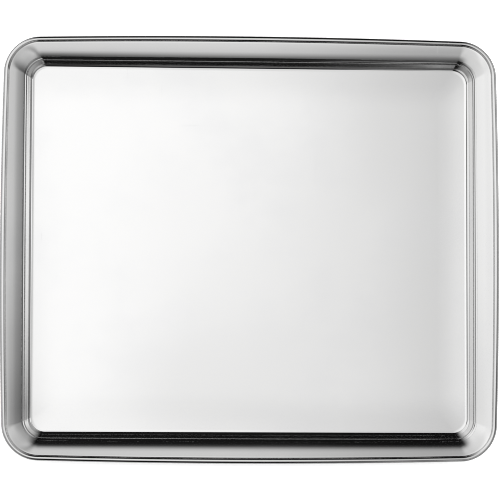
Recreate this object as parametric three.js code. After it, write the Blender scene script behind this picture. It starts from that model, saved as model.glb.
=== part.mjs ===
// Covered cake pan: a drawn stainless steel pan and the pressed cover that drops into its mouth.
// Both rims are rolled round a wire. Millimetres, +Z up, long side along X.
// The origin lies on the table, under the middle of the pan.

import * as THREE from "three";

// Plan of the cover's rim, which is the widest part
const rimLength = 356;
const rimWidth = 305;
const rimCorner = 25;
const rimBow = 2.6;

// Rolled rims
const panSheet = 0.8;
const coverSheet = 0.6;
const panWire = 2.4;
const coverWire = 2.4;
const wireClearance = 0.3;
const throatRadius = 0.5;
const flangeRise = 0.6;
const seamAngle = 55;

// Pan section
const panHeight = 50.8;
const panFlange = 6.6;
const wallDraft = 6;
const mouthRadius = 3.6;
const floorRadius = 8;

// Cover section, from the flange down to the panel
const recessDepth = 8.65;
const flangeWidth = 8.15;
const flangeFall = 6.5;
const browWidth = 6.7;
const browFall = 22;
const browRadius = 39;
const riserSlope = 55.6;
const shoulderRadius = 6;
const shelfWidth = 1.4;
const shelfFall = 21;
const riserFootRadius = 1.4;
const stepHeight = 0.52;
const stepSlope = 36;
const shelfRadius = 0.5;
const stepFootRadius = 0.5;
const dishWidth = 10;
const dishFall = 1.1;
const dishRadius = 950;
const panelCorner = 10.2;

// How the cover sits on the pan
const seatGap = 0.3;
const beadPlay = 0.6;

// Finishes
const panFinish = { color: 0xd3d5d6, roughness: 0.16 };
const coverFinish = { color: 0xdcdddd, roughness: 0.08 };
const wireFinish = { color: 0xa9abad, roughness: 0.4 };

// Facets
const cornerSteps = 6;
const sideSteps = 4;
const bendFacet = 15;
const curlFacet = 30;
const wireSides = 10;

const { degToRad } = THREE.MathUtils;
const slope = (degrees) => Math.tan(degToRad(degrees));

// Radii of the rolled rims: of the curl's middle, and over the finished bead
const panCurl = (panWire + panSheet) / 2 + wireClearance;
const coverCurl = (coverWire + coverSheet) / 2 + wireClearance;
const panBead = panCurl + panSheet / 2;
const coverBead = coverCurl + coverSheet / 2;

// Sections are drawn in a plane where x runs outwards, with 0 at the edge of the cover's rim.
// The cover's own height is counted from the middle of its rim bead. Its runs go inwards and down.
const inwards = (from, width, fall) => new THREE.Vector2(from.x - width, from.y - width * slope(fall));
const flangeOut = new THREE.Vector2(1, slope(flangeFall)).normalize();
const flangeUp = leftOf(flangeOut);
const coverBeadCentre = new THREE.Vector2(-coverBead, 0);
const coverFlange = coverBeadCentre.clone().addScaledVector(flangeUp, flangeRise);
const brow = inwards(coverFlange, flangeWidth, flangeFall);
const shoulder = inwards(brow, browWidth, browFall);
const footLevel = stepHeight + shelfWidth * slope(shelfFall) - recessDepth;
const riserFoot = inwards(shoulder, (shoulder.y - footLevel) / slope(riserSlope), riserSlope);
const shelfEdge = inwards(riserFoot, shelfWidth, shelfFall);
const panelEdge = inwards(shelfEdge, stepHeight / slope(stepSlope), stepSlope);
const dish = inwards(panelEdge, dishWidth, dishFall);
const panelInset = -panelEdge.x;

// The cover's flange rests on the pan's bead, and its own bead hangs just outside that bead
const seatDrop = panBead + seatGap + coverSheet / 2 - flangeRise;
const beadReach = panBead + coverBead + beadPlay;
const beadRun = Math.sqrt(beadReach ** 2 - seatDrop ** 2);
const beadOffset = flangeOut.clone().multiplyScalar(-beadRun).addScaledVector(flangeUp, -seatDrop);
const panBeadCentre = new THREE.Vector2(coverBeadCentre.x + beadOffset.x, panHeight - panBead);
const coverSeat = panBeadCentre.y - beadOffset.y;

// The pan's level flange turns down into a drafted wall
const panFlangeEnd = new THREE.Vector2(panBeadCentre.x, panBeadCentre.y + flangeRise);
const panMouth = inwards(panFlangeEnd, panFlange, 0);
const floorHeight = panSheet / 2;
const wallRun = (panMouth.y - floorHeight) * slope(wallDraft);
const panFloorEdge = new THREE.Vector2(panMouth.x - wallRun, floorHeight);

function leftOf(direction) {
  return new THREE.Vector2(-direction.y, direction.x);
}

// One round bend of a sheet's middle line, as points with the normal of the sheet's upper face
function bend(centre, radius, fromAngle, toAngle, facet) {
  const turn = toAngle - fromAngle;
  const steps = Math.max(1, Math.ceil(Math.abs(turn) / degToRad(facet)));
  const side = turn > 0 ? -1 : 1;
  return Array.from({ length: steps + 1 }, (_, step) => {
    const angle = fromAngle + (turn * step) / steps;
    const radial = new THREE.Vector2(Math.cos(angle), Math.sin(angle));
    const point = centre.clone().addScaledVector(radial, radius);
    return { point, normal: radial.multiplyScalar(side) };
  });
}

// Bends of a sheet whose straight runs meet at the given corners, each rounded to its own radius
function bentRun(corners, radii) {
  return radii.flatMap((radius, index) => {
    const [before, corner, after] = corners.slice(index, index + 3);
    const into = new THREE.Vector2().subVectors(corner, before).normalize();
    const away = new THREE.Vector2().subVectors(after, corner).normalize();
    const turn = Math.atan2(into.cross(away), into.dot(away));
    const start = corner.clone().addScaledVector(into, -radius * Math.tan(Math.abs(turn) / 2));
    const centre = start.clone().addScaledVector(leftOf(into), radius * Math.sign(turn));
    const fromAngle = start.clone().sub(centre).angle();
    return bend(centre, radius, fromAngle, fromAngle + turn, bendFacet);
  });
}

// The rolled rim: a small throat bends the flange, which lies above the bead's middle, up onto a curl.
// The curl runs over the top and outside of the bead and ends under the flange, with an open seam.
function rolledRim(centre, flangeDirection, curl, sheet) {
  const heading = Math.atan2(flangeDirection.y, flangeDirection.x);
  const throat = throatRadius + sheet / 2;
  const rise = throat + flangeRise;
  const run = Math.sqrt((throat + curl) ** 2 - rise ** 2);
  const throatCentre = centre.clone()
    .addScaledVector(flangeDirection, -run)
    .addScaledVector(leftOf(flangeDirection), rise);
  const join = heading - Math.asin(rise / (throat + curl));
  const seam = heading - Math.PI + degToRad(seamAngle);
  return [
    ...bend(throatCentre, throat, heading - Math.PI / 2, join, bendFacet),
    ...bend(centre, curl, join + Math.PI, Math.PI / 2, curlFacet).slice(1),
    ...bend(centre, curl, Math.PI / 2, 0, curlFacet).slice(1),
    ...bend(centre, curl, 0, seam, curlFacet).slice(1),
  ];
}

// Both faces of a sheet, from the middle of its upper face round the rim to the middle of its lower face
function sheetSection(middle, sheet) {
  const face = (offset) => middle.map(({ point, normal }) => point.clone().addScaledVector(normal, offset));
  return [...face(sheet / 2), ...face(-sheet / 2).reverse()];
}

// Round section of a rim wire
function wireSection(centre, diameter) {
  const turns = Array.from({ length: wireSides }, (_, side) => Math.PI - (2 * Math.PI * side) / wireSides);
  return turns.map((angle) => {
    const radial = new THREE.Vector2(Math.cos(angle), Math.sin(angle));
    return centre.clone().addScaledVector(radial, diameter / 2);
  });
}

// Plan outline at a distance inside the rim: a rectangle with round corners, which tighten towards the
// panel, and sides that swell out at the rim and run straight at the panel
function planOutline(inset) {
  const halfLength = rimLength / 2 - inset;
  const halfWidth = rimWidth / 2 - inset;
  const share = inset / panelInset;
  const corner = rimCorner * (panelCorner / rimCorner) ** share;
  const bow = rimBow * Math.max(0, 1 - share);
  const signs = [[1, 1], [-1, 1], [-1, -1], [1, -1]];
  const corners = signs.map(([signX, signY], quarter) => {
    const centreX = signX * (halfLength - corner);
    const centreY = signY * (halfWidth - corner);
    const start = (quarter * Math.PI) / 2;
    const arc = new THREE.EllipseCurve(centreX, centreY, corner, corner, start, start + Math.PI / 2);
    return arc.getPoints(cornerSteps);
  });
  const points = corners.flatMap((arc, quarter) => {
    const from = arc.at(-1);
    const to = corners[(quarter + 1) % corners.length][0];
    const side = Array.from({ length: sideSteps - 1 }, (_, step) => {
      return from.clone().lerp(to, (step + 1) / sideSteps);
    });
    return [...arc, ...side];
  });
  return points.map(({ x, y }) => new THREE.Vector2(
    x * (1 - (bow / halfLength) * (y / halfWidth) ** 2),
    y * (1 - (bow / halfWidth) * (x / halfLength) ** 2),
  ));
}

// Carries a section round the plan. A ring closes on itself; a sheet is closed across the middle.
function sweepRound(section, isRing) {
  const rings = section.map(({ x, y }) => planOutline(-x).map((plan) => [plan.x, plan.y, y]));
  const count = rings[0].length;
  const positions = rings.flat(2);
  const index = [];
  const spans = isRing ? rings.length : rings.length - 1;
  for (let ring = 0; ring < spans; ring += 1) {
    const inner = ring * count;
    const outer = ((ring + 1) % rings.length) * count;
    for (let step = 0; step < count; step += 1) {
      const next = (step + 1) % count;
      index.push(inner + step, outer + step, outer + next);
      index.push(inner + step, outer + next, inner + next);
    }
  }
  if (!isRing) {
    const top = positions.length / 3;
    const bottom = top + 1;
    const last = (rings.length - 1) * count;
    positions.push(0, 0, section[0].y, 0, 0, section.at(-1).y);
    for (let step = 0; step < count; step += 1) {
      const next = (step + 1) % count;
      index.push(top, step, next);
      index.push(last + step, bottom, last + next);
    }
  }
  const geometry = new THREE.BufferGeometry();
  geometry.setAttribute("position", new THREE.Float32BufferAttribute(positions, 3));
  geometry.setIndex(index);
  geometry.computeVertexNormals();
  return geometry;
}

function steelPiece(name, geometry, finish) {
  const mesh = new THREE.Mesh(geometry, new THREE.MeshStandardMaterial({ ...finish, metalness: 1 }));
  mesh.name = name;
  return mesh;
}

const sheetPiece = (name, middle, sheet, finish) => {
  return steelPiece(name, sweepRound(sheetSection(middle, sheet), false), finish);
};

const wirePiece = (name, centre, diameter) => {
  return steelPiece(name, sweepRound(wireSection(centre, diameter), true), wireFinish);
};

// Pan: floor, drafted wall, round mouth, level flange and rolled rim
const outwards = new THREE.Vector2(1, 0);
const floorMiddle = inwards(panFloorEdge, rimWidth / 4, 0);
const panMiddle = [
  ...bentRun([floorMiddle, panFloorEdge, panMouth, panFlangeEnd], [floorRadius, mouthRadius]),
  ...rolledRim(panBeadCentre, outwards, panCurl, panSheet),
];
const pan = new THREE.Group();
pan.add(sheetPiece("pan", panMiddle, panSheet, panFinish));
pan.add(wirePiece("pan_rim_wire", panBeadCentre, panWire));

// Cover: panel with a dished edge, small step, shelf, riser, shoulder, curved flange and rolled rim
const panelMiddle = inwards(dish, rimWidth / 4, 0);
const coverCorners = [panelMiddle, dish, panelEdge, shelfEdge, riserFoot, shoulder, brow, coverFlange];
const coverRadii = [dishRadius, stepFootRadius, shelfRadius, riserFootRadius, shoulderRadius, browRadius];
const coverMiddle = [
  ...bentRun(coverCorners, coverRadii),
  ...rolledRim(coverBeadCentre, flangeOut, coverCurl, coverSheet),
];
const cover = new THREE.Group();
cover.position.z = coverSeat;
cover.add(sheetPiece("cover", coverMiddle, coverSheet, coverFinish));
cover.add(wirePiece("cover_rim_wire", coverBeadCentre, coverWire));

const coveredCakePan = new THREE.Group();
coveredCakePan.add(pan, cover);

export default coveredCakePan;
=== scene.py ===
import math

import bpy
from mathutils import Matrix, Vector


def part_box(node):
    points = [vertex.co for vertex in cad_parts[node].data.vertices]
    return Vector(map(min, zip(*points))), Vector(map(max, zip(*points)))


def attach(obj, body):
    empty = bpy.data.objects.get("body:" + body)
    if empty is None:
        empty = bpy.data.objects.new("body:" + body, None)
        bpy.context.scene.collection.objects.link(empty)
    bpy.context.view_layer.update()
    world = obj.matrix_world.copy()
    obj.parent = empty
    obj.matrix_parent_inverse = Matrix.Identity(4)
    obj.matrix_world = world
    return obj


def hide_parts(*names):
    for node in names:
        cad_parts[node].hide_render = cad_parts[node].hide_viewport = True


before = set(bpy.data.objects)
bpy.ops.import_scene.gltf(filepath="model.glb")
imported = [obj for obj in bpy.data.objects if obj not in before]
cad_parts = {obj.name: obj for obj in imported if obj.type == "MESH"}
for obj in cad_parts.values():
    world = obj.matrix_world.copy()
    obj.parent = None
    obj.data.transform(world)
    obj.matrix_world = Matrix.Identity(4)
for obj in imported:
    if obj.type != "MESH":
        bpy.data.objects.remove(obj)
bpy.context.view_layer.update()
scene = bpy.context.scene
mm = 0.001


def tanOf(degrees):
    return math.tan(math.radians(degrees))


def leftOf(direction):
    return Vector((-direction.y, direction.x))


# wraps an output socket, so shader maths reads as plain expressions
class Signal:
    def __init__(self, bench, socket):
        self.bench = bench
        self.socket = socket

    def maths(self, operation, first, second=0.0):
        return self.bench.node("ShaderNodeMath", {"operation": operation}, {0: first, 1: second})

    def __add__(self, other):
        return self.maths("ADD", self, other)

    __radd__ = __add__

    def __mul__(self, other):
        return self.maths("MULTIPLY", self, other)

    __rmul__ = __mul__

    def __sub__(self, other):
        return self.maths("SUBTRACT", self, other)

    def __rsub__(self, other):
        return self.maths("SUBTRACT", other, self)

    def __truediv__(self, other):
        return self.maths("DIVIDE", self, other)

    def __rtruediv__(self, other):
        return self.maths("DIVIDE", other, self)

    def __abs__(self):
        return self.maths("ABSOLUTE", self)


# one node tree; every node on it comes from the method below
class Bench:
    def __init__(self, tree):
        self.tree = tree
        tree.nodes.clear()

    def node(self, kind, settings, sockets, outlet=0):
        made = self.tree.nodes.new(kind)
        for key, value in settings.items():
            if key == "stops":
                self.setStops(made.color_ramp, value)
            else:
                setattr(made, key, value)
        for key, value in sockets.items():
            if isinstance(value, Signal):
                self.tree.links.new(value.socket, made.inputs[key])
            else:
                made.inputs[key].default_value = value
        return Signal(self, made.outputs[outlet]) if made.outputs else made

    def setStops(self, ramp, stops):
        while len(ramp.elements) < len(stops):
            ramp.elements.new(1)
        for element, (place, level) in zip(ramp.elements, stops):
            element.position = place
            element.color = (level, level, level, 1)


# plan of both pressings, in millimetres: corners tighten and bowed sides straighten towards the panel
plan = {"rimCorner": 25, "panelCorner": 10.2, "rimBow": 2.6, "cornerSteps": 24, "sideSteps": 24}

# rims rolled round a wire, in millimetres and degrees
rim = {
    "wire": 2.4,
    "wireClearance": 0.3,
    "throatRadius": 0.5,
    "flangeRise": 0.6,  # of the flange over the wire's middle
    "seamAngle": 55,
    "wireSides": 24,
}

# facets in degrees; short steps beside a bend, in millimetres, keep the straight runs flat in reflections
fineness = {"bendFacet": 4, "curlFacet": 8, "fewestSteps": 4, "runEdge": 0.1}
panelRings = (0.3, 3, 10, 22, 40, 70, 100)  # millimetres from the end of a section towards the middle

coverLow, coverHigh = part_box("cover")
panLow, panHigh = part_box("pan")
rimLength = (coverHigh.x - coverLow.x) / mm
rimWidth = (coverHigh.y - coverLow.y) / mm
panHeight = (panHigh.z - panLow.z) / mm
flatRun = rimWidth / 4  # how far in on the flat a section's first corner lies


# one round bend of a sheet's middle line: points, each with the normal of the upper face
def bend(centre, radius, fromAngle, toAngle, facet):
    turn = toAngle - fromAngle
    steps = max(fineness["fewestSteps"], math.ceil(abs(turn) / math.radians(facet)))
    side = -1 if turn > 0 else 1
    made = []
    for step in range(steps + 1):
        angle = fromAngle + turn * step / steps
        radial = Vector((math.cos(angle), math.sin(angle)))
        made.append((centre + radial * radius, radial * side))
    return made


# straight runs that meet at the given corners, each corner rounded to its own radius
def bentRun(corners, radii):
    made = []
    for before, corner, after, radius in zip(corners, corners[1:], corners[2:], radii):
        into = (corner - before).normalized()
        away = (after - corner).normalized()
        turn = math.atan2(into.x * away.y - into.y * away.x, into.dot(away))
        start = corner - into * radius * math.tan(abs(turn) / 2)
        centre = start + leftOf(into) * math.copysign(radius, turn)
        fromAngle = math.atan2(start.y - centre.y, start.x - centre.x)
        arc = bend(centre, radius, fromAngle, fromAngle + turn, fineness["bendFacet"])
        made.append((arc[0][0] - into * fineness["runEdge"], arc[0][1]))
        made.extend(arc)
        made.append((arc[-1][0] + away * fineness["runEdge"], arc[-1][1]))
    return made


# a throat lifts the flange onto a curl that runs over the wire and ends under the flange, with an open seam
def rolledRim(centre, flangeOut, curl, sheet):
    heading = math.atan2(flangeOut.y, flangeOut.x)
    throat = rim["throatRadius"] + sheet / 2
    rise = throat + rim["flangeRise"]
    run = math.sqrt((throat + curl) ** 2 - rise**2)
    throatCentre = centre - flangeOut * run + leftOf(flangeOut) * rise
    join = heading - math.asin(rise / (throat + curl))
    seam = heading - math.pi + math.radians(rim["seamAngle"])
    throatBend = bend(throatCentre, throat, heading - math.pi / 2, join, fineness["bendFacet"])
    inner = bend(centre, curl, join + math.pi, math.pi / 2, fineness["curlFacet"])
    outer = bend(centre, curl, math.pi / 2, 0, fineness["curlFacet"])
    under = bend(centre, curl, 0, seam, fineness["curlFacet"])
    before = (throatBend[0][0] - flangeOut * fineness["runEdge"], throatBend[0][1])
    return [before] + throatBend + inner[1:] + outer[1:] + under[1:]


def sheetSection(middle, sheet):
    upper = [point + normal * sheet / 2 for point, normal in middle]
    lower = [point - normal * sheet / 2 for point, normal in middle]
    return upper + lower[::-1]


def wireSection(centre):
    turns = [math.pi - math.tau * side / rim["wireSides"] for side in range(rim["wireSides"])]
    return [centre + Vector((math.cos(turn), math.sin(turn))) * rim["wire"] / 2 for turn in turns]


# the rim's outline moved inwards: four arcs and four sides, then pulled in towards the corners by the bow
def planOutline(inset, panelInset):
    halfLength = rimLength / 2 - inset
    halfWidth = rimWidth / 2 - inset
    share = inset / panelInset
    corner = plan["rimCorner"] * (plan["panelCorner"] / plan["rimCorner"]) ** share
    bow = plan["rimBow"] * max(0, 1 - share)
    arcs = []
    for quarter, (signX, signY) in enumerate(((1, 1), (-1, 1), (-1, -1), (1, -1))):
        centre = Vector((signX * (halfLength - corner), signY * (halfWidth - corner)))
        arc = []
        for step in range(plan["cornerSteps"] + 1):
            turn = (quarter + step / plan["cornerSteps"]) * math.pi / 2
            arc.append(centre + Vector((math.cos(turn), math.sin(turn))) * corner)
        arcs.append(arc)
    points = []
    for arc, following in zip(arcs, arcs[1:] + arcs[:1]):
        points.extend(arc)
        for step in range(1, plan["sideSteps"]):
            points.append(arc[-1].lerp(following[0], step / plan["sideSteps"]))
    bowed = []
    for point in points:
        pullX = 1 - bow / halfLength * (point.y / halfWidth) ** 2
        pullY = 1 - bow / halfWidth * (point.x / halfLength) ** 2
        bowed.append((point.x * pullX, point.y * pullY))
    return bowed


# carries a section round the plan; a sheet is closed by rings towards its middle, a wire closes on itself
def sweepRound(name, section, panelInset, baseHeight, isRing=False):
    rings = [(-point.x, point.y) for point in section]
    if not isRing:
        top = [(rings[0][0] + step, rings[0][1]) for step in panelRings]
        bottom = [(rings[-1][0] + step, rings[-1][1]) for step in panelRings]
        rings = top[::-1] + rings + bottom
    verts = []
    for inset, height in rings:
        level = (baseHeight + height) * mm
        verts.extend((x * mm, y * mm, level) for x, y in planOutline(inset, panelInset))
    count = len(verts) // len(rings)
    faces = []
    for ring in range(len(rings) if isRing else len(rings) - 1):
        inner = ring * count
        outer = (ring + 1) % len(rings) * count
        for step in range(count):
            nextStep = (step + 1) % count
            faces.append((inner + step, outer + step, outer + nextStep, inner + nextStep))
    if not isRing:
        last = (len(rings) - 1) * count
        faces.append(tuple(range(count)))
        faces.append(tuple(last + step for step in reversed(range(count))))
    mesh = bpy.data.meshes.new(name)
    mesh.from_pydata(verts, [], faces)
    mesh.polygons.foreach_set("use_smooth", [True] * len(mesh.polygons))
    mesh.update()
    piece = bpy.data.objects.new(name, mesh)
    scene.collection.objects.link(piece)
    return piece


# middle line of the curl: the wire, its clearance and half the sheet
def curlRadius(sheet):
    return (rim["wire"] + sheet) / 2 + rim["wireClearance"]


# a point further in and lower, at the end of a run with that width and fall
def inwards(point, width, fall):
    return Vector((point.x - width, point.y - width * tanOf(fall)))


# cover, in millimetres and degrees: its runs from the bead inwards, and the bends between them
cover = {
    "sheet": 0.6,
    "recessDepth": 8.65,  # from the bead's middle to the panel's edge
    "flangeWidth": 8.15,
    "flangeFall": 6.5,
    "browRadius": 39,
    "browWidth": 6.7,
    "browFall": 22,
    "shoulderRadius": 6,
    "riserSlope": 55.6,
    "riserFootRadius": 1.4,
    "shelfWidth": 1.4,
    "shelfFall": 21,
    "shelfRadius": 0.5,
    "stepHeight": 0.52,
    "stepSlope": 36,
    "stepFootRadius": 0.5,
    "lipWidth": 1.3,  # the panel's edge turns up a little
    "lipFall": 4.2,
    "lipRadius": 16,
    "dishWidth": 10,  # and the panel is faintly dished inside it
    "dishFall": 1.1,
    "dishRadius": 950,
}

# sections run outwards along x, with 0 at the edge of the cover's rim
coverBead = curlRadius(cover["sheet"]) + cover["sheet"] / 2
coverBeadCentre = Vector((-coverBead, 0))
flangeOut = Vector((1, tanOf(cover["flangeFall"]))).normalized()
coverFlange = coverBeadCentre + leftOf(flangeOut) * rim["flangeRise"]
brow = inwards(coverFlange, cover["flangeWidth"], cover["flangeFall"])
shoulder = inwards(brow, cover["browWidth"], cover["browFall"])
footLevel = cover["stepHeight"] + cover["shelfWidth"] * tanOf(cover["shelfFall"]) - cover["recessDepth"]
riserFoot = inwards(shoulder, (shoulder.y - footLevel) / tanOf(cover["riserSlope"]), cover["riserSlope"])
shelfEdge = inwards(riserFoot, cover["shelfWidth"], cover["shelfFall"])
panelEdge = inwards(shelfEdge, cover["stepHeight"] / tanOf(cover["stepSlope"]), cover["stepSlope"])
lip = inwards(panelEdge, cover["lipWidth"], cover["lipFall"])
dish = inwards(lip, cover["dishWidth"], cover["dishFall"])
panelInset = -panelEdge.x
coverSeat = coverHigh.z / mm - coverBead

coverCorners = [inwards(dish, flatRun, 0), dish, lip, panelEdge, shelfEdge, riserFoot]
coverCorners += [shoulder, brow, coverFlange]
coverBends = ["dishRadius", "lipRadius", "stepFootRadius", "shelfRadius", "riserFootRadius"]
coverBends += ["shoulderRadius", "browRadius"]
coverMiddle = bentRun(coverCorners, [cover[key] for key in coverBends])
coverMiddle += rolledRim(coverBeadCentre, flangeOut, curlRadius(cover["sheet"]), cover["sheet"])
coverShell = sweepRound("coverShell", sheetSection(coverMiddle, cover["sheet"]), panelInset, coverSeat)
coverRimWire = sweepRound("coverRimWire", wireSection(coverBeadCentre), panelInset, coverSeat, isRing=True)
print("cover pressed and rolled:", len(coverShell.data.vertices), "points")

# pan, in millimetres and degrees
pan = {"sheet": 0.8, "flange": 6.6, "wallDraft": 6, "mouthRadius": 3.6, "floorRadius": 8}

panBead = curlRadius(pan["sheet"]) + pan["sheet"] / 2
panEdge = rimLength / 2 - panHigh.x / mm  # how far the pan's rim stands inside the cover's
panBeadCentre = Vector((-panEdge - panBead, panHeight - panBead))
panFlangeEnd = panBeadCentre + Vector((0, rim["flangeRise"]))
panMouth = inwards(panFlangeEnd, pan["flange"], 0)
wallRun = (panMouth.y - pan["sheet"] / 2) * tanOf(pan["wallDraft"])
panFloorEdge = Vector((panMouth.x - wallRun, pan["sheet"] / 2))

panCorners = [inwards(panFloorEdge, flatRun, 0), panFloorEdge, panMouth, panFlangeEnd]
panMiddle = bentRun(panCorners, [pan["floorRadius"], pan["mouthRadius"]])
panMiddle += rolledRim(panBeadCentre, Vector((1, 0)), curlRadius(pan["sheet"]), pan["sheet"])
panShell = sweepRound("panShell", sheetSection(panMiddle, pan["sheet"]), panelInset, 0)
panRimWire = sweepRound("panRimWire", wireSection(panBeadCentre), panelInset, 0, isRing=True)
print("pan drawn and rolled:", len(panShell.data.vertices), "points")

# finishes: colours from clean to hazy steel, what each mark adds, and the depth of the waves in millimetres
coverFinish = {
    "name": "mirrorSteel",
    "light": (0.873, 0.871, 0.867, 1),
    "dull": (0.853, 0.853, 0.855, 1),
    "roughness": 0.065,
    "haze": 0.03,
    "lineRoughness": 0.02,
    "scratchRoughness": 0.12,
    "lineDepth": 0.012,
    "waveDepth": 0.25,
    "film": 0.07,  # share of dull film on the flat faces
}
panFinish = {
    "name": "brightSteel",
    "light": (0.85, 0.85, 0.848, 1),
    "dull": (0.78, 0.785, 0.79, 1),
    "roughness": 0.13,
    "haze": 0.06,
    "lineRoughness": 0.06,
    "scratchRoughness": 0.16,
    "lineDepth": 0.02,
    "waveDepth": 0.3,
    "film": 0.07,
}
wireFinish = {
    "name": "drawnWire",
    "light": (0.66, 0.665, 0.67, 1),
    "dull": (0.5, 0.5, 0.505, 1),
    "roughness": 0.34,
    "haze": 0.1,
    "lineRoughness": 0.08,
    "scratchRoughness": 0.1,
    "lineDepth": 0.08,
    "waveDepth": 0,
    "film": 0,
}

# marks that the finishes share: noise scales are per metre along x, y and z; a range runs from none to full
marks = {
    "panelLines": {"scale": (7, 1500, 7), "detail": 3},
    "wallLines": {"scale": (9, 9, 1300), "detail": 3},
    "panelSlope": (0.5, 0.95),  # of the squared upward share of a face's normal
    "lineMiddle": 0.5,  # mean of the noise
    "lineHeight": 0.02,  # millimetres
    "haze": {"scale": (17, 21, 17), "detail": 4, "roughness": 0.6},
    "hazeRange": (0.42, 0.72),
    "hazeTint": 0.6,
    "mottle": {"scale": (160, 160, 160), "detail": 3},
    "mottleTint": 0.3,
    "hairs": {"scale": (700, 24, 200), "detail": 2},
    "hairRange": (0.72, 0.76),
    "crossHairs": {"scale": (31, 820, 200), "detail": 2},
    "crossHairRange": (0.73, 0.77),
    "scratchDepth": 0.6,  # against the height of the lines
    "waves": {"scale": (8, 11, 8), "detail": 1},
    "flatSlope": (0.993, 0.997),  # as panelSlope, for the film
    "filmEdge": (8, 30),  # millimetres from a flat face's long edges
}


def scaledNoise(bench, place, scale, detail, roughness=0.5):
    stretched = bench.node("ShaderNodeVectorMath", {"operation": "MULTIPLY"}, {0: place, 1: scale})
    return bench.node("ShaderNodeTexNoise", {}, {
        "Vector": stretched,
        "Scale": 1.0,
        "Detail": detail,
        "Roughness": roughness,
    })


def softStep(bench, value, low, high):
    return bench.node("ShaderNodeMapRange", {"interpolation_type": "SMOOTHSTEP"}, {
        "Value": value,
        "From Min": low,
        "From Max": high,
    })


# polished sheet: slight waves of the pressing, buffing lines, a faint haze of handling and hair scratches
def steelMaterial(finish, flatInset):
    material = bpy.data.materials.new(finish["name"])
    material.use_nodes = True
    bench = Bench(material.node_tree)
    place = bench.node("ShaderNodeTexCoord", {}, {}, outlet="Object")
    facing = bench.node("ShaderNodeNewGeometry", {}, {}, outlet="Normal")
    upness = bench.node("ShaderNodeSeparateXYZ", {}, {0: facing}, outlet="Z")

    # buffing runs along the panel and round the walls
    onPanel = softStep(bench, upness * upness, *marks["panelSlope"])
    panelLines = scaledNoise(bench, place, **marks["panelLines"])
    wallLines = scaledNoise(bench, place, **marks["wallLines"])
    lines = panelLines * onPanel + wallLines * (1 - onPanel)

    # scratches show only where the steel is hazy
    haze = softStep(bench, scaledNoise(bench, place, **marks["haze"]), *marks["hazeRange"])
    mottle = scaledNoise(bench, place, **marks["mottle"])
    hairs = softStep(bench, scaledNoise(bench, place, **marks["hairs"]), *marks["hairRange"])
    crossHairs = softStep(bench, scaledNoise(bench, place, **marks["crossHairs"]), *marks["crossHairRange"])
    scratches = (hairs + crossHairs) * haze

    tint = bench.node("ShaderNodeMix", {"data_type": "RGBA"}, {
        "Factor": haze * marks["hazeTint"] + mottle * marks["mottleTint"],
        6: finish["light"],  # the node's two colours
        7: finish["dull"],
    }, outlet=2)
    roughness = (
        finish["roughness"]
        + haze * finish["haze"]
        + (lines - marks["lineMiddle"]) * finish["lineRoughness"]
        + scratches * finish["scratchRoughness"]
    )
    waves = bench.node("ShaderNodeBump", {}, {
        "Distance": finish["waveDepth"] * mm,
        "Height": scaledNoise(bench, place, **marks["waves"]),
    })
    normal = bench.node("ShaderNodeBump", {}, {
        "Normal": waves,
        "Strength": finish["lineDepth"],
        "Distance": marks["lineHeight"] * mm,
        "Height": lines - scratches * marks["scratchDepth"],
    })

    # a thin dull film lies on the flat faces and thins out along their long edges
    filmStart, filmFull = marks["filmEdge"]
    across = bench.node("ShaderNodeSeparateXYZ", {}, {0: place}, outlet="Y")
    fromEdge = (rimWidth / 2 - flatInset) * mm - abs(across)
    inside = softStep(bench, fromEdge, filmStart * mm, filmFull * mm)
    flat = softStep(bench, upness * upness, *marks["flatSlope"])
    shader = bench.node("ShaderNodeBsdfPrincipled", {}, {
        "Base Color": tint,
        "Metallic": 1 - flat * inside * finish["film"],
        "Roughness": roughness,
        "Normal": normal,
    })
    bench.node("ShaderNodeOutputMaterial", {}, {"Surface": shader})
    return material


wireMaterial = steelMaterial(wireFinish, 0)
for piece, material, body, node, slot in (
    (panShell, steelMaterial(panFinish, -panFloorEdge.x), "pan", "pan", "pan_steel"),
    (panRimWire, wireMaterial, "pan", "pan_rim_wire", "wire_steel"),
    (coverShell, steelMaterial(coverFinish, panelInset), "cover", "cover", "cover_steel"),
    (coverRimWire, wireMaterial, "cover", "cover_rim_wire", "wire_steel"),
):
    piece.data.materials.append(material)
    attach(piece, body)
    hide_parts(node)
print("steel finished")

# camera, in metres and degrees, fitted to the photo: it stands a little left of and below straight above
photoView = {
    "distance": 2.2,
    "tiltX": -3.98,
    "tiltY": -3.87,
    "roll": -0.149,
    "frameWidth": 0.3561,
    "aim": (-0.00058, -0.00062, 0.05),
    "farthest": 100,
    "pixelWidth": 1.0,
}

camera = bpy.data.objects.new("camera", bpy.data.cameras.new("camera"))
scene.collection.objects.link(camera)
scene.camera = camera
back = Vector((tanOf(photoView["tiltX"]), tanOf(photoView["tiltY"]), 1)).normalized()
roll = math.radians(photoView["roll"])
right = Vector((math.sin(roll), math.cos(roll), 0)).cross(back).normalized()
turned = Matrix((right, back.cross(right), back)).transposed().to_4x4()
spot = Vector(photoView["aim"]) + back * photoView["distance"]
camera.matrix_world = Matrix.Translation(spot) @ turned
camera.data.lens = camera.data.sensor_width * photoView["distance"] / photoView["frameWidth"]
camera.data.clip_end = photoView["farthest"]
print("camera set up")

# plain pale floor, and the softer glow that the polished steel mirrors in its place, in metres
floorPlan = {"reach": 12, "paint": (0.9, 0.9, 0.9, 1), "roughness": 0.9}
# the glow carries a painted shadow of the pan, darkest under it
glowPlan = {"level": 0.46, "paintedShadow": 0.1, "paintedShadowReach": 0.075, "far": 0.04, "farStart": 0.1, "farEnd": 0.3}


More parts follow.
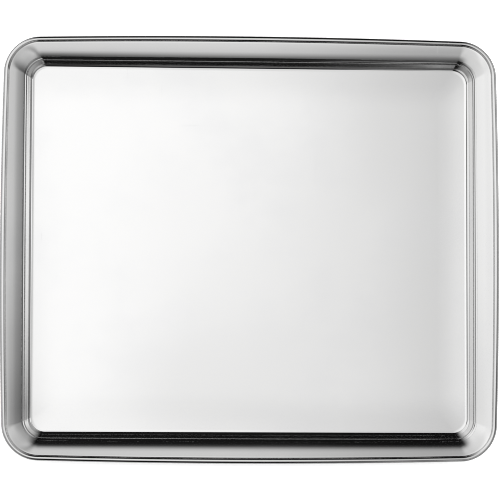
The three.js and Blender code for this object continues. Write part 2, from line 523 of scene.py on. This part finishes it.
def floorPlane(name):
    reach = floorPlan["reach"]
    corners = [(-reach, -reach, 0), (reach, -reach, 0), (reach, reach, 0), (-reach, reach, 0)]
    mesh = bpy.data.meshes.new(name)
    mesh.from_pydata(corners, [], [range(len(corners))])
    plane = bpy.data.objects.new(name, mesh)
    scene.collection.objects.link(plane)
    material = bpy.data.materials.new(name)
    material.use_nodes = True
    mesh.materials.append(material)
    return plane, Bench(material.node_tree)


floor, bench = floorPlane("floor")
floor.visible_glossy = False
paint = {"Base Color": floorPlan["paint"], "Roughness": floorPlan["roughness"]}
bench.node("ShaderNodeOutputMaterial", {}, {"Surface": bench.node("ShaderNodeBsdfPrincipled", {}, paint)})

# the glow has a painted shadow under and round the pan, and dims far to the front and back
glow, bench = floorPlane("floorGlow")
glow.visible_camera = False
glow.visible_diffuse = False
glow.visible_shadow = False
place = bench.node("ShaderNodeTexCoord", {}, {}, outlet="Object")
beyond = []
for axis, half in (("X", rimLength / 2), ("Y", rimWidth / 2)):
    along = bench.node("ShaderNodeSeparateXYZ", {}, {0: place}, outlet=axis)
    outside = abs(along) - (half + panFloorEdge.x) * mm
    beyond.append(outside.maths("MAXIMUM", outside))  # 0 under the pan's floor
away = beyond[0] * beyond[0] + beyond[1] * beyond[1]
# painted shadow: the glow lifts from dark under the pan's floor to its full level 75 mm beyond it
lit = softStep(bench, away.maths("SQRT", away), 0, glowPlan["paintedShadowReach"])
far = softStep(bench, beyond[1], glowPlan["farStart"], glowPlan["farEnd"])
glowLevel = glowPlan["paintedShadow"] + lit * (glowPlan["level"] - glowPlan["paintedShadow"])
glowLevel = glowLevel * (1 - far) + far * glowPlan["far"]
shader = bench.node("ShaderNodeEmission", {}, {"Color": glowLevel})
bench.node("ShaderNodeOutputMaterial", {}, {"Surface": shader})
print("floor laid")

# studio light: brightness of the surroundings by degrees from overhead, towards each side and corner
studio = {
    "right": (
        (0, 1.05), (1.8, 0.92), (2.6, 0.81), (6.2, 0.81), (6.75, 0.73), (7.3, 0.61), (8.5, 0.66),
        (16, 0.66), (24, 0.61), (32, 0.42), (40, 0.33), (48, 0.18), (57, 0.1),
        (64, 0.32), (70, 1.1), (74, 1.1), (81, 0.28), (87, 0.08), (104, 0.25),
    ),
    "left": (
        (1.5, 1.0), (5, 0.87), (20, 0.97), (40, 0.92), (52, 0.93), (56, 0.75), (60.5, 0.1), (66, 0.1),
        (71, 0.85), (79, 0.8), (85, 0.15), (93, 0.1), (104, 0.4),
    ),
    "back": (
        (0, 1.03), (1.1, 1.06), (4, 1.08), (5.5, 1.08), (6.3, 1.09), (7, 1.09), (8, 1.05), (12, 0.86),
        (15, 0.67), (22, 0.67), (27, 0.56), (31, 0.3), (35, 0.06), (39, 0.01), (104, 0.006),
    ),
    "front": (
        (4, 1.0), (8, 0.75), (16, 0.72), (24, 0.66), (29, 0.46), (33, 0.22),
        (37, 0.05), (41, 0.012), (104, 0.006),
    ),
    "frontRight": (
        (8, 0.6), (24, 0.56), (32, 0.48), (38, 0.4), (44, 0.28), (50, 0.24), (63, 0.23),
        (69, 0.45), (76, 0.45), (83, 0.25), (90, 0.1), (104, 0.3),
    ),
    "backRight": (
        (8, 0.56), (24, 0.54), (32, 0.48), (38, 0.4), (44, 0.34), (50, 0.32), (63, 0.32),
        (69, 0.6), (76, 0.6), (83, 0.25), (90, 0.1), (104, 0.3),
    ),
    "frontLeft": (
        (8, 0.74), (24, 0.73), (30, 0.68), (36, 0.56), (44, 0.4), (52, 0.25), (60, 0.13),
        (65, 0.13), (70, 0.45), (79, 0.45), (88, 0.14), (104, 0.4),
    ),
    "backLeft": (
        (8, 0.78), (24, 0.8), (36, 0.86), (44, 0.92), (56, 0.95), (62, 0.7),
        (65, 0.7), (70, 0.95), (79, 0.85), (88, 0.2), (104, 0.4),
    ),
    "widest": 110,
    "overheadDrop": 0.5,
    "fadeRight": 0.65,
    "fadeLeft": 0.18,
    "frontGlow": 0.13,
    "frontStrip": 0.7,
    "backdrop": 1.0,
    "floorSun": 4.4,
    "sunWidth": 24,
}

# where the studio's lights start and end, as shares of a direction along x, y and z
edges = {
    "corners": (-0.15, 0.15),  # along y, from the front's corners to the back's
    "dropStart": (0.06, 0.15),  # along x
    "dropEnd": (0.24, 0.15),
    "fadeRight": (0.1, 0.4),  # along x
    "fadeLeft": (-0.1, -0.4),
    "fadeFront": (0.075, 0),  # along y
    "glowRight": (0.08, 0.16),  # along x
    "glowFront": (-0.3, -0.6),  # along y
    "stripFoot": (0.25, 0.31),  # along z
    "stripTop": (0.45, 0.39),
    "bandMiddle": 0.065,  # along x and y, where the photo's view mirrors the sides squarely
    "handOver": (0.1, 0.5),  # from a side to a corner, as a share of a quarter turn
    "beside": (0.02, 0.09),  # squared, from overhead outwards
}


# stops of a ramp from one side to the other, with overhead at its middle
def sideStops(plus, minus):
    span = 2 * studio["widest"]
    stops = [(0.5 - angle / span, level) for angle, level in reversed(minus)]
    return stops + [(0.5 + angle / span, level) for angle, level in plus]


# brightness at an angle from overhead, towards one side or the other
def sideLight(bench, angle, plus, minus):
    place = angle / math.radians(2 * studio["widest"]) + 0.5
    return bench.node("ShaderNodeValToRGB", {"stops": sideStops(studio[plus], studio[minus])}, {0: place})


world = bpy.data.worlds.new("studioLight")
scene.world = world
world.use_nodes = True
bench = Bench(world.node_tree)
direction = bench.node("ShaderNodeTexCoord", {}, {}, outlet="Generated")
alongX = bench.node("ShaderNodeSeparateXYZ", {}, {0: direction}, outlet="X")
alongY = bench.node("ShaderNodeSeparateXYZ", {}, {0: direction}, outlet="Y")
alongZ = bench.node("ShaderNodeSeparateXYZ", {}, {0: direction}, outlet="Z")
lightX = sideLight(bench, alongX.maths("ARCTAN2", alongX, alongZ), "right", "left")
lightY = sideLight(bench, alongY.maths("ARCTAN2", alongY, alongZ), "back", "front")
fromOverhead = alongZ.maths("ARCCOSINE", alongZ) * alongX.maths("SIGN", alongX)
lightFront = sideLight(bench, fromOverhead, "frontRight", "frontLeft")
lightBack = sideLight(bench, fromOverhead, "backRight", "backLeft")
lightCorners = lightFront + (lightBack - lightFront) * softStep(bench, alongY, *edges["corners"])

# the side lights fade towards the front, and the overhead light drops on the right
fading = softStep(bench, alongX, *edges["fadeRight"]) * studio["fadeRight"]
fading = fading + softStep(bench, alongX, *edges["fadeLeft"]) * studio["fadeLeft"]
fading = fading * softStep(bench, alongY, *edges["fadeFront"])
lightX = lightX * (1 - fading)
drop = softStep(bench, alongX, *edges["dropStart"]) * softStep(bench, alongX, *edges["dropEnd"])
lightY = lightY * (1 - drop * studio["overheadDrop"])

# the front glows faintly on the right, with a brighter strip low in the glow
frontGlow = softStep(bench, alongX, *edges["glowRight"]) * softStep(bench, alongY, *edges["glowFront"])
strip = softStep(bench, alongZ, *edges["stripFoot"]) * softStep(bench, alongZ, *edges["stripTop"])
lightY = lightY + frontGlow * (studio["frontGlow"] + strip * studio["frontStrip"])

# overhead the two directions blend; further out each side hands over to the corners beside it
outwards = alongX * alongX + alongY * alongY
shareX = alongX * alongX / outwards
overhead = lightX * shareX + lightY * (1 - shareX)
leanX = abs(alongX - edges["bandMiddle"])
leanY = abs(alongY - edges["bandMiddle"])
turn = leanX / (leanX + leanY)
handStart, handEnd = edges["handOver"]
offY = softStep(bench, turn, handStart, handEnd)
offX = softStep(bench, turn, 1 - handStart, 1 - handEnd)
around = lightX * (1 - offX) + lightY * (1 - offY) + lightCorners * offX * offY
beside = softStep(bench, outwards, *edges["beside"])
level = overhead * (1 - beside) + around * beside
isCamera = bench.node("ShaderNodeLightPath", {}, {}, outlet="Is Camera Ray")
seen = level * (1 - isCamera) + isCamera * studio["backdrop"]
surround = bench.node("ShaderNodeBackground", {}, {"Color": seen})
bench.node("ShaderNodeOutputWorld", {}, {"Surface": surround})

# a wide sun for the floor and the dull film; the steel mirrors only the studio
sun = bpy.data.objects.new("floorSun", bpy.data.lights.new("floorSun", "SUN"))
sun.data.energy = studio["floorSun"]
sun.data.angle = math.radians(studio["sunWidth"])
sun.visible_glossy = False
sun.data.cycles.use_multiple_importance_sampling = False  # keeps specks of sun off the steel
scene.collection.objects.link(sun)
scene.view_settings.view_transform = "Standard"
scene.cycles.filter_width = photoView["pixelWidth"]  # about as sharp as the photo
print("studio lit")
